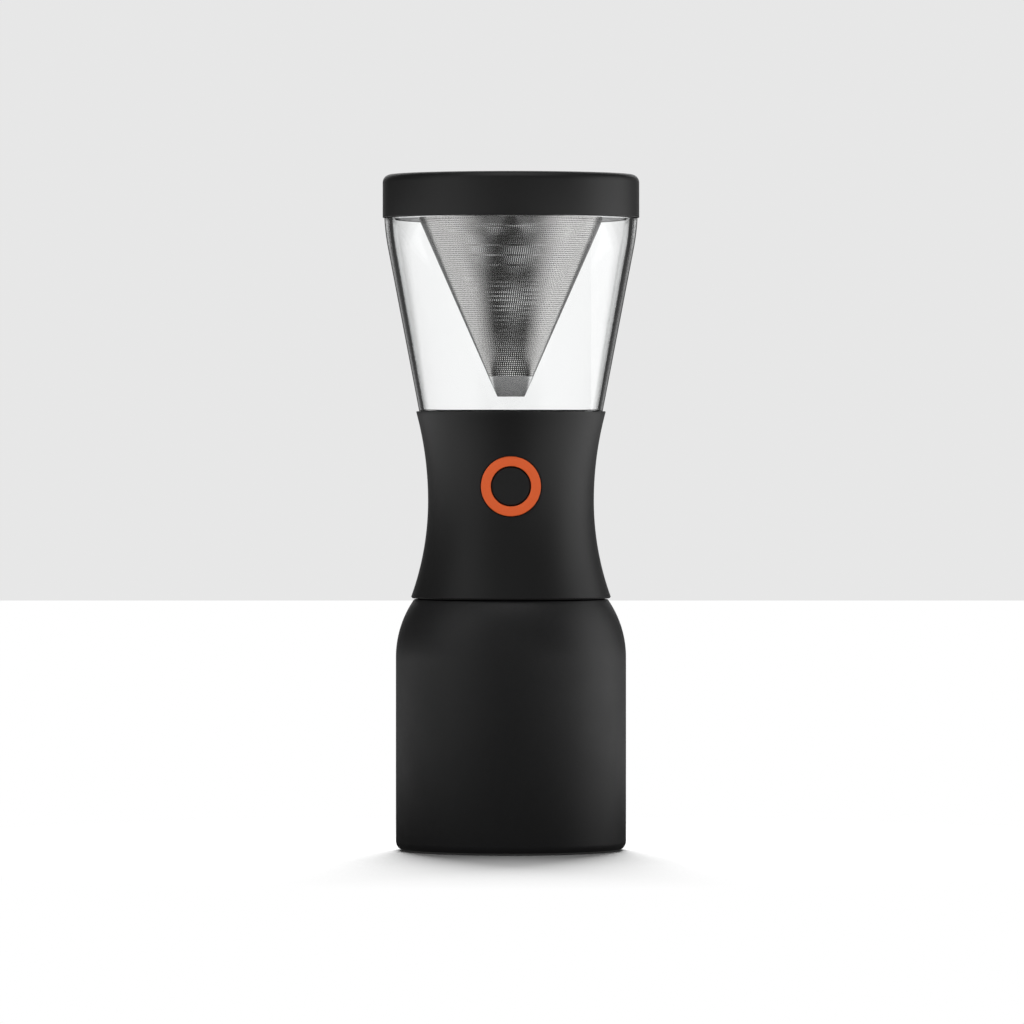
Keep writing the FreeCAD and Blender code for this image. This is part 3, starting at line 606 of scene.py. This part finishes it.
ring_front, ring_depth = depths("button_ring")
button_front, button_depth = depths("button_cap")
turned_front("orange_ring", profile(
    (RING_BORE, 0, 0.25), (ring_radius, 0, 0.35), (ring_radius, ring_depth), (RING_BORE, ring_depth),
), ring_front, "brewer", ORANGE, "button_ring")
skirt_bore = BUTTON_RADIUS - BUTTON_SKIRT
turned_front("push_button", profile(
    (0, DISH_DEPTH), (BUTTON_RADIUS - DISH_EDGE, DISH_RISE), (BUTTON_RADIUS, 0, 0.6),
    (BUTTON_RADIUS, button_depth), (skirt_bore, button_depth), (skirt_bore, BUTTON_FACE),
    (HUB_RADIUS, BUTTON_FACE), (HUB_RADIUS, HUB_END), (HUB_BORE, HUB_END), (HUB_BORE, BUTTON_FACE),
    (0, BUTTON_FACE),
), button_front, "button", BUTTON_BLACK, "button_cap")

# %% [markdown]
# ## The chamber
#
# The chamber is one thick moulding. What the eye reads as glass is the way its inner and outer
# faces differ: the wall thickens upwards, so the two edge lines drift apart. Both faces are straight
# tapers that bend upright under the lid, and each bend is an arc tangent to its taper.

# %% Clear chamber
CHAMBER_SLOPE = 0.191
FOOT_RADIUS = 46.8
FOOT_WALL = 2.25
RIM_RISE = 13.9
RIM_WALL = 2.2
RIM_GAP = 0.2              # the filter's flange ends this far inside the rim's own radius
BEND_RISE = 83.1
BEND_END = 0.5
STEP_WALL = 1.2
SPIGOT_RADIUS = 40.8
SPIGOT_WALL = 2.5
SPIGOT_NECK = 5.6          # how far under the ledge the spigot has its full width
SPIGOT_BORE_TOP = 4.5
SHELF_GAP = 0.6
TAPER_LOSS = 0.014         # the wall thickens upwards by this much per millimetre


def tangent_arc(start, direction, end, count=16):
    """Points of the arc that leaves start along direction and reaches end."""
    start, end = np.asarray(start, float), np.asarray(end, float)
    along = np.asarray(direction, float) / np.linalg.norm(direction)
    normal = np.array([-along[1], along[0]])
    gap = end - start
    radius = gap @ gap / (2 * gap @ normal)
    centre = start + radius * normal
    first = math.atan2(*(start - centre)[::-1])
    turn = 2 * math.atan2(gap @ normal, gap @ along)
    angle = first + np.linspace(0, turn, count)
    return centre + abs(radius) * np.stack([np.cos(angle), np.sin(angle)], axis=1)


def chamber():
    """The clear vessel from its spigot to its rim, with outer and inner face."""
    foot = waist_high
    rim = high("brew_chamber")
    step = rim - RIM_RISE
    top_radius = reach("brew_chamber")
    spigot_end = low("brew_chamber")
    bend = (FOOT_RADIUS + CHAMBER_SLOPE * BEND_RISE, foot + BEND_RISE)
    rim_radius = reach("filter_rim") + RIM_GAP
    bore = rim_radius - RIM_WALL
    foot_bore = FOOT_RADIUS - FOOT_WALL
    inner_slope = CHAMBER_SLOPE - TAPER_LOSS
    inner_bend = (foot_bore + inner_slope * BEND_RISE, foot + BEND_RISE)
    inner_top = (inner_bend[0] + top_radius - bend[0] - TAPER_LOSS * (step - inner_bend[1]), step)
    spigot_bore = SPIGOT_RADIUS - SPIGOT_WALL
    ledge = foot - LEDGE_DROP
    shelf = hourglass(WAIST_WALL, ledge, ledge, 1)[0][0] - SHELF_GAP
    points = profile(
        (spigot_bore, spigot_end), (SPIGOT_RADIUS, spigot_end, 0.4),
        (SPIGOT_RADIUS, ledge - SPIGOT_NECK, 2.0), (shelf, ledge, 0.3),
        (FOOT_RADIUS - CHAMBER_SLOPE * LEDGE_DROP, ledge),
        tangent_arc(bend, (CHAMBER_SLOPE, 1), (top_radius, step - BEND_END)), (top_radius, step, 0.4),
        (rim_radius, step, 0.3), (rim_radius, rim, 0.5), (bore, rim, 0.5),
        (bore, step + STEP_WALL, 0.5), tangent_arc(inner_bend, (inner_slope, 1), inner_top)[::-1],
        (foot_bore, foot, 3.0), (spigot_bore, ledge - SPIGOT_BORE_TOP, 3.0),
    )
    mesh = make_mesh("clear_chamber", *lathe(points, FINE_TURNS))
    piece("clear_chamber", mesh, "brewer", CLEAR, ["brew_chamber"])


chamber()

# %% [markdown]
# ## The filter
#
# The cone is rolled from perforated sheet. Its holes are about seven tenths of a millimetre wide and
# a bit over a millimetre apart, thousands of them. A see-through pattern painted on a plain cone
# would be lighter, but real holes keep their depth when the cone is lifted out and seen close.
# Each hole sits in its own cell, a ring of a dozen triangles between the hole's six corners and the
# cell's six. Each row of cells has as many as fit at the same pitch, and rows are staggered.

# %% Perforated cone
HOLE_RADIUS = 0.36
PITCH = 1.1
ROW_RISE = 1.03
SHEET = 0.45
CONE_TIP_RADIUS = 6.9
CONE_TOP_RADIUS = 46.8
tip_low, tip_high = low("filter_tip"), high("filter_tip")
shelf_low = low("filter_rim")
CONE_GROWTH = (CONE_TOP_RADIUS - CONE_TIP_RADIUS) / (shelf_low - tip_low)
SIDES = 6
CELL_A = np.array([1, 0, -1, -1, 0, 1.0])
CELL_B = np.array([1, 1, 1, -1, -1, -1.0])
HOLE_ANGLE = np.radians(30 + 60 * np.arange(SIDES))


def cone_radius(height):
    """Outer radius of the cone at a height."""
    return CONE_TIP_RADIUS + CONE_GROWTH * (height - tip_low)


def perforated_row(middle, shift):
    """Cells of one row. A cell's corner is (angle + a half cell, height + b half row), a, b in -1 to 1."""
    count = int(round(2 * math.pi * cone_radius(middle) / PITCH))
    width = 2 * math.pi / count
    centre = (np.arange(count) + shift)[:, None] * width
    hole_a = HOLE_RADIUS * np.cos(HOLE_ANGLE) / cone_radius(middle)
    hole_z = HOLE_RADIUS * np.sin(HOLE_ANGLE)
    angle = np.hstack([centre + CELL_A * width / 2, centre + hole_a])
    height = middle + np.hstack([CELL_B * ROW_RISE / 2, hole_z]) + 0 * angle
    sheets = []
    for inset in (0, SHEET):
        r = cone_radius(height) - inset
        sheets.append(np.stack([r * np.cos(angle), r * np.sin(angle), height], axis=2))
    vertices = np.hstack(sheets).reshape(-1, 3)
    k, after = np.arange(SIDES), (np.arange(SIDES) + 1) % SIDES
    hole, hole_after, inner = k + SIDES, after + SIDES, 2 * SIDES
    outer = np.vstack([np.stack([k, after, hole_after], 1), np.stack([k, hole_after, hole], 1)])
    wall = np.vstack([np.stack([hole, hole_after, hole_after + inner], 1),
                      np.stack([hole, hole_after + inner, hole + inner], 1)])
    cell = np.vstack([outer, outer[:, ::-1] + inner, wall])
    faces = (cell[None] + 2 * inner * np.arange(count)[:, None, None]).reshape(-1, 3)
    return vertices, faces


def perforated_cone(bands=4):
    """Rows from the tip to the shelf, shared out among a few pieces of like size."""
    rows = int((shelf_low - tip_high) / ROW_RISE)
    start = tip_high + (shelf_low - tip_high - rows * ROW_RISE) / 2
    made = [perforated_row(start + (i + 0.5) * ROW_RISE, 0.5 * (i % 2)) for i in range(rows)]
    total = np.cumsum([len(faces) for vertices, faces in made])
    share = np.minimum((total - 1) * bands // total[-1], bands - 1)
    for band in range(bands):
        chosen = [made[i] for i in np.flatnonzero(share == band)]
        offsets = np.cumsum([0] + [len(vertices) for vertices, faces in chosen[:-1]])
        vertices = np.vstack([vertices for vertices, faces in chosen])
        faces = np.vstack([faces + offset for (_, faces), offset in zip(chosen, offsets)])
        name = f"filter_sheet_{band + 1}"
        piece(name, make_mesh(name, vertices, faces), "filter", SHEET_STEEL, ["filter_cone"])
    print("holes", total[-1] // (6 * SIDES))


perforated_cone()

# %% [markdown]
# The point of the cone is a plain polished cup, and the shelf and collar it hangs by are spun from
# sheet, so their bends are round inside and out.

# %% Filter tip and rim
TIP_WALL = 0.8
TIP_FLOOR = 1.0
TIP_LAP = 0.12             # the cup stands this far proud of the cone
COLLAR_GAP = 0.6           # between the collar and the chamber's mouth
COLLAR_SHEET = 0.6


def filter_tip():
    """The cup that closes the cone."""
    top, floor_top = cone_radius(tip_high), tip_low + TIP_FLOOR
    points = profile(
        (0, tip_low), (CONE_TIP_RADIUS, tip_low, 0.5), (top + TIP_LAP, tip_high, 0.1),
        (top - TIP_WALL, tip_high), (CONE_TIP_RADIUS - TIP_WALL, floor_top, 0.5), (0, floor_top),
    )
    mesh = make_mesh("cone_point", *lathe(points, TIP_TURNS))
    piece("cone_point", mesh, "filter", CUP_STEEL, ["filter_tip"])


def filter_rim():
    """The shelf, the collar that hangs in the chamber's mouth, and the flange on its rim."""
    sheet = COLLAR_SHEET
    flange = reach("filter_rim")
    wall = flange + RIM_GAP - RIM_WALL - COLLAR_GAP
    rim = high("brew_chamber")
    points = profile(
        (CONE_TOP_RADIUS - SHEET, shelf_low), (wall, shelf_low, 1.8), (wall, rim, 0.3), (flange, rim, 0.2),
        (flange, rim + sheet, 0.2), (wall - sheet, rim + sheet, 0.8), (wall - sheet, shelf_low + sheet, 1.2),
        (CONE_TOP_RADIUS - SHEET, shelf_low + sheet),
    )
    mesh = make_mesh("filter_collar", *lathe(points))
    piece("filter_collar", mesh, "filter", POLISHED_STEEL, ["filter_rim"])


filter_tip()
filter_rim()

# %% [markdown]
# ## The lid
#
# The lid is a plain cap with a flat top, a rounded upper edge and a straight skirt. Under it the
# liner disc and its stopper wall show only when it is lifted, and they keep their own meshes.

# %% Lid
LID_SKIRT = 2.5
LID_TOP = 2.6
LID_ROUND = 4.1


def lid():
    """The cap with its rounded upper edge and its skirt."""
    outer, bottom, top = reach("lid_cap"), low("lid_cap"), high("lid_cap")
    bore, under = outer - LID_SKIRT, top - LID_TOP
    points = profile(
        (bore, bottom, 0.4), (outer, bottom, 0.5), (outer, top, LID_ROUND), (0, top), (0, under),
        (bore, under, 1.0),
    )
    mesh = make_mesh("lid_skin", *lathe(points, FINE_TURNS))
    piece("lid_skin", mesh, "lid", SOFT_BLACK, ["lid_cap"])


lid()

# %% [markdown]
# ## The two springs
#
# A pose moves what a spring pushes on but can't squeeze the spring. So each one is drawn as long as
# it is with the button pressed, from its fixed end, and nothing that comes towards it meets it.

# %% Springs
WIRE_SIDES = 10
STEPS_PER_TURN = 40


def spring(name, node, axis, wire, turns, travel):
    """A coil along an axis (1 is Y, 2 is Z). Its fixed end is the one that lies further along that axis."""
    lowest, highest = (np.array(corner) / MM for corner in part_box(node))
    centre = (lowest + highest) / 2
    share = np.linspace(0, 1, turns * STEPS_PER_TURN + 1)[:, None]
    turn = 2 * math.pi * turns * share
    side = np.linspace(0, 2 * math.pi, WIRE_SIDES, endpoint=False)[None, :]
    thickness = wire * ((share > 0) & (share < 1))
    out = (highest - lowest)[0] / 2 - wire + thickness * np.cos(side)
    start, end = lowest[axis] + travel + wire, highest[axis] - wire
    vertices = np.zeros((*out.shape, 3))
    vertices[..., 0] = centre[0] + out * np.cos(turn)
    vertices[..., 3 - axis] = centre[3 - axis] + out * np.sin(turn)
    vertices[..., axis] = start + (end - start) * share + thickness * np.sin(side)
    row, column = np.meshgrid(np.arange(len(share) - 1), np.arange(WIRE_SIDES), indexing="ij")
    after = (column + 1) % WIRE_SIDES
    here, ahead = row * WIRE_SIDES, (row + 1) * WIRE_SIDES
    quads = np.stack([here + column, here + after, ahead + after, ahead + column], axis=2)
    mesh = make_mesh(name, vertices.reshape(-1, 3), quads.reshape(-1, 4))
    piece(name, mesh, "brewer", SATIN_STEEL, [node])


spring("button_coil", "button_spring", axis=1, wire=0.45, turns=4, travel=4.2)
spring("valve_coil", "valve_spring", axis=2, wire=0.35, turns=5, travel=3.2)

# %% [markdown]
# ## What stays as built
#
# The other pieces inside keep their construction meshes. Each gets the finish it is listed under below.

# %% Finishes of the inner pieces
INNER = {
    INNER_BLACK: ["screw_collar", "collar_plate", "chamber_floor", "drain_tube", "tube_foot_flange",
                  "tube_top_flange", "plunger_gland", "stem_guide", "button_guide", "button_plunger",
                  "lid_liner"],
    SATIN_STEEL: ["carafe_liner", "liner_bottom", "liner_neck", "base_pan", "vacuum_seal", "floor_screws",
                  "collar_screws", "spring_washer"],
    POLISHED_STEEL: ["valve_stem", "plug_nut", "cross_pin"],
    SILICONE: ["neck_gasket", "valve_plug"],
    DARK_SILICONE: ["floor_oring", "plunger_seal", "lid_seal"],
}
for finish, nodes in INNER.items():
    for node in nodes:
        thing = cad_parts[node]
        thing.data.materials.clear()
        thing.data.materials.append(finish)
print("inner pieces", sum(len(nodes) for nodes in INNER.values()))

# %% [markdown]
# ## The studio
#
# A dark object on white needs a bright background but a dim room: steel and lacquer mirror what
# stands round them, and a white room would turn them grey. So the world is white to a ray that has
# met no mirror, on its own or through the clear wall. It gives rough surfaces a plain grey light, and
# a mirror finds it almost dark.

# %% World
MIRRORED_ROOM = 0.05
ROOM_LIGHT = 0.45


def studio_world():
    """White to look at, even grey light on rough surfaces, and dim in mirrors."""
    world = bpy.data.worlds.new("studio")
    bpy.context.scene.world = world
    nodes = Nodes(world, "ShaderNodeOutputWorld")
    scattered = nodes.ray("Is Diffuse Ray")
    seen = nodes.unmirrored() * (1 - scattered)
    strength = MIRRORED_ROOM + (1 - MIRRORED_ROOM) * seen + (ROOM_LIGHT - MIRRORED_ROOM) * scattered
    nodes.show(nodes.node("ShaderNodeBackground", {}, {"Strength": strength}))


studio_world()

# %% [markdown]
# The floor is white to look at, and near the foot it takes the shadow of a low sun behind the
# object. The cone's wall leans, so its steel mirrors the floor and not the room. Glowing white cards
# are painted into the floor's finish left and right of the object, with a dark strip between them,
# and the cone mirrors this painted light as its dark middle and light sides. The camera never sees
# them straight on. The backdrop also stands there for mirrors alone: it casts no shadow and hides
# nothing from behind.

# %% Floor and backdrop
FLOOR_HALF = 6.0
FLOOR_PAPER = 0.2          # a dull sheet under a strong sun, so that the lamps hardly show on it
SHADOW_START = 0.07        # the sheet turns plain white between these distances from the axis
SHADOW_END = 0.36
CARD_RIGHT = (0.21, 0.46)  # a card brightens between these distances to the side
CARD_LEFT = (0.24, 0.50)
CARD_BACK = (0.8, 1.2)     # and both end between these distances behind the object
CARD_RIGHT_LIGHT = 1.15
CARD_LEFT_LIGHT = 1.0
BACKDROP_LOW = 0.3
BACKDROP_RISE = 1.2
BACKDROP_CLIMB = (0.3, 0.7)
BACKDROP_DEPTH = 2.2
BACKDROP_HEIGHT = 2.6
BACKDROP_HALF = 0.85


def plane(name, corners, finish):
    """A flat sheet through four corners in metres."""
    mesh = bpy.data.meshes.new(name)
    mesh.from_pydata(corners, [], [(0, 1, 2, 3)])
    mesh.materials.append(finish)
    thing = bpy.data.objects.new(name, mesh)
    bpy.context.collection.objects.link(thing)
    return thing


def emission(finish, strength):
    """Plain white of a given strength, whatever the lamps do."""
    return finish.node("ShaderNodeEmission", {}, {"Strength": strength})


def floor_sheet():
    """Shadowed white near the foot, plain white further out, and painted glowing cards to a mirrored ray."""
    finish = Finish("floor_sheet")
    settings = {"operation": "LENGTH"}
    distance = finish.node("ShaderNodeVectorMath", settings, {0: finish.place()}, output="Value")
    paper = finish.node("ShaderNodeBsdfDiffuse", {}, {"Color": (*3 * [FLOOR_PAPER], 1)})
    inputs = {0: distance.between(SHADOW_START, SHADOW_END), 1: paper, 2: emission(finish, 1)}
    seen = finish.node("ShaderNodeMixShader", {}, inputs)
    across = finish.axis("X")
    right, left = across.between(*CARD_RIGHT), (across * -1).between(*CARD_LEFT)
    sides = CARD_RIGHT_LIGHT * right + CARD_LEFT_LIGHT * left
    # painted light: the cards glow as emission, seen by mirrored rays and shed as light on rough surfaces
    card_glow = MIRRORED_ROOM + sides * (1 - finish.axis("Y").between(*CARD_BACK))
    plain = finish.unmirrored() * (1 - finish.ray("Is Diffuse Ray"))
    inputs = {0: plain, 1: emission(finish, card_glow), 2: seen}
    finish.show(finish.node("ShaderNodeMixShader", {}, inputs))
    return finish.material


def backdrop_paper():
    """White through the clear wall. Mirrored rays find it dim low down and bright above."""
    finish = Finish("backdrop_paper")
    mirrored = BACKDROP_LOW + BACKDROP_RISE * finish.axis("Z").between(*BACKDROP_CLIMB)
    plain = finish.unmirrored()
    finish.show(emission(finish, plain + mirrored * (1 - plain)))
    return finish.material


AROUND = [(-1, 0), (1, 0), (1, 1), (-1, 1)]
floor_corners = [(x * FLOOR_HALF, (2 * y - 1) * FLOOR_HALF, 0) for x, y in AROUND]
backdrop_corners = [(x * BACKDROP_HALF, BACKDROP_DEPTH, z * BACKDROP_HEIGHT) for x, z in AROUND]
floor = plane("floor", floor_corners, floor_sheet())
backdrop = plane("backdrop", backdrop_corners, backdrop_paper())
backdrop.visible_shadow = False
backdrop.visible_camera = False

# %% [markdown]
# A tall soft box at the right lights the black sides from foot to lid. The left one hangs higher and
# is weaker, so it reaches the lid and the waist more than the carafe. A third lights the lid's top, and
# a fourth in front, which no mirror shows, gives colours their plain level. The sun is wide and low,
# stands behind the object and is linked to the floor alone, so it draws the shadow and nothing else.

# %% Lamps
MIDDLE = (0, 0, 0.17)
SUN_MARGIN = 1.05


def lamp(name, kind, place, aim, power):
    """A lamp at a place in metres that shines at an aim."""
    data = bpy.data.lights.new(name, kind)
    data.energy = power
    thing = bpy.data.objects.new(name, data)
    thing.location = place
    thing.rotation_euler = (Vector(aim) - Vector(place)).to_track_quat("-Z", "Y").to_euler()
    bpy.context.collection.objects.link(thing)
    return thing


def soft_box(name, place, size, watts, mirrored=True):
    """A rectangular lamp aimed at the object. Steel and lacquer mirror it only if it is allowed to show."""
    thing = lamp(name, "AREA", place, MIDDLE, watts)
    thing.data.shape = "RECTANGLE"
    thing.data.size, thing.data.size_y = size
    thing.visible_glossy = mirrored
    thing.visible_transmission = False


def floor_sun(elevation, width):
    """A sun behind the object whose light lands on the floor alone, and makes its sheet just white."""
    place = (0, math.cos(elevation), math.sin(elevation))
    power = SUN_MARGIN * math.pi / math.sin(elevation) / FLOOR_PAPER
    thing = lamp("floor_sun", "SUN", place, (0, 0, 0), power)
    thing.data.angle = width
    lit = bpy.data.collections.new("lit_by_sun")
    lit.objects.link(floor)
    thing.light_linking.receiver_collection = lit


soft_box("right_box", (1.1, 0.15, 0.3), (1.1, 1.3), 4.6)
soft_box("left_box", (-0.9, -0.55, 0.75), (0.9, 0.9), 1.6)
soft_box("top_box", (0, -0.3, 1.7), (1.2, 1.2), 5)
soft_box("front_fill", (0, -2.2, 0.8), (1.5, 1.5), 33, mirrored=False)
floor_sun(math.radians(30), math.radians(40))

# %% [markdown]
# ## Last lines
#
# The view transform is left plain, so a colour shows as it is written.

# %% Colours and the end
bpy.context.scene.view_settings.view_transform = "Standard"
